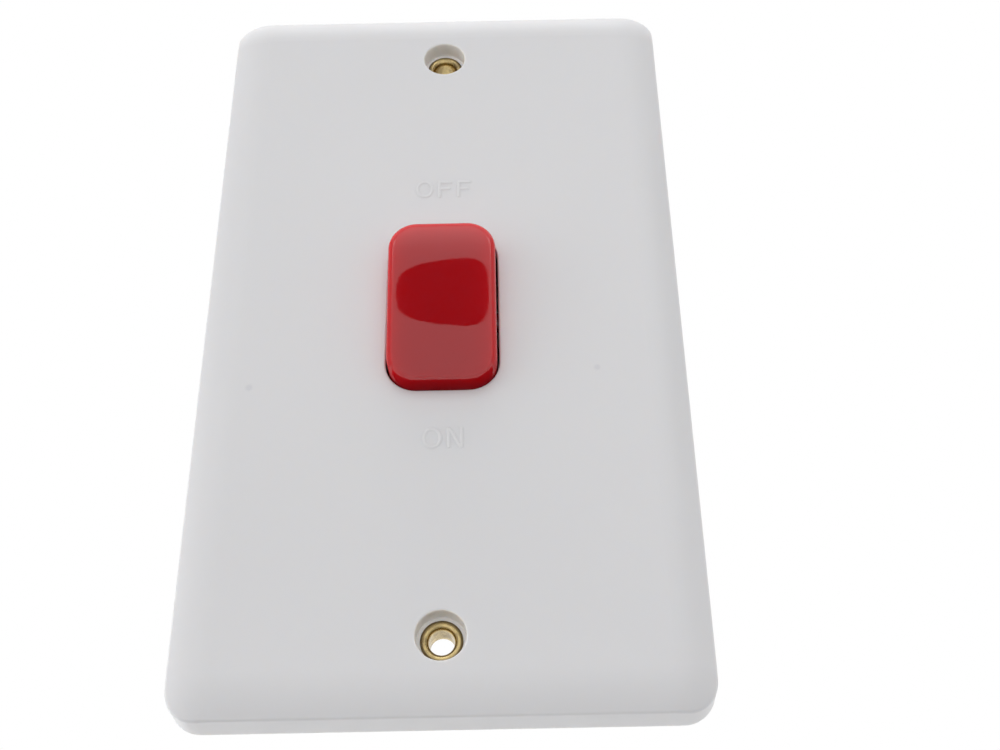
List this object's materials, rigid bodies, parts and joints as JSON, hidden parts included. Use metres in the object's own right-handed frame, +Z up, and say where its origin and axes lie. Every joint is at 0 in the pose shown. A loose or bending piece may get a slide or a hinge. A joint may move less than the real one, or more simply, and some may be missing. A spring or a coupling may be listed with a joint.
{
  "type": "double pole switch",
  "caption": "Double pole switch on a tall white wall plate, with a red rocker, screw wells with brass bushes, and the contacts and terminals behind.",
  "frame": {"origin": "centre of the plate's rear rim, on the wall's surface, midway between the fixing holes", "axes": "+X to the right seen from the front, +Z up the plate, +Y into the wall"},
  "size_m": [0.086, 0.0315, 0.146],
  "materials": {
    "plate": "satin white moulding",
    "body": "plain off-white moulding",
    "rocker": "polished red moulding",
    "nylon": "natural nylon",
    "spring": "drawn spring wire",
    "steel": "zinc-plated steel",
    "brass": "plain brass",
    "copper": "bright copper",
    "silver": "silver alloy"
  },
  "bodies": {
    "base": {"body_screws": "steel", "earth_screw": "steel", "earth_strap": "brass", "earth_terminal": "brass", "front_plate": "plate", "left_fixed_tip": "silver", "left_load_strip": "brass", "left_load_terminal": "brass", "left_supply_strip": "brass", "left_supply_terminal": "brass", "lower_fixing_bush": "brass", "right_fixed_tip": "silver", "right_load_strip": "brass", "right_load_terminal": "brass", "right_supply_strip": "brass", "right_supply_terminal": "brass", "switch_body": "body", "terminal_screws": "steel", "upper_fixing_bush": "brass"},
    "rocker": {"rocker": "rocker", "left_plunger_spring": "spring", "right_plunger_spring": "spring"},
    "left_plunger": {"left_plunger": "nylon"},
    "left_contact": {"left_moving_contact": "copper", "left_moving_tip": "silver"},
    "right_plunger": {"right_plunger": "nylon"},
    "right_contact": {"right_moving_contact": "copper", "right_moving_tip": "silver"}
  },
  "joints": [
    {"name": "rocker_pivot", "type": "hinge", "parent": "base", "child": "rocker", "pos_m": [0, -0.0031, 0], "axis": [-1, 0, 0], "range_deg": [0, 11]},
    {"name": "left_contact_pivot", "type": "hinge", "parent": "base", "child": "left_contact", "pos_m": [-0.005, 0.00875, 0], "axis": [1, 0, 0], "range_deg": [0, 19]},
    {"name": "left_plunger_slide", "type": "slide", "parent": "rocker", "child": "left_plunger", "axis": [0, -0.9954, -0.0958], "range_m": [0, 0.0008], "stiffness_N_per_m": 1500, "springref_m": -0.003, "deforming": ["left_plunger_spring"]},
    {"name": "right_contact_pivot", "type": "hinge", "parent": "base", "child": "right_contact", "pos_m": [0.005, 0.00875, 0], "axis": [1, 0, 0], "range_deg": [0, 19]},
    {"name": "right_plunger_slide", "type": "slide", "parent": "rocker", "child": "right_plunger", "axis": [0, -0.9954, -0.0958], "range_m": [0, 0.0008], "stiffness_N_per_m": 1500, "springref_m": -0.003, "deforming": ["right_plunger_spring"]}
  ],
  "couplings": [
    {"joint": "left_contact_pivot", "follows": "rocker_pivot", "ratio": 1.727},
    {"joint": "right_contact_pivot", "follows": "rocker_pivot", "ratio": 1.727}
  ]
}
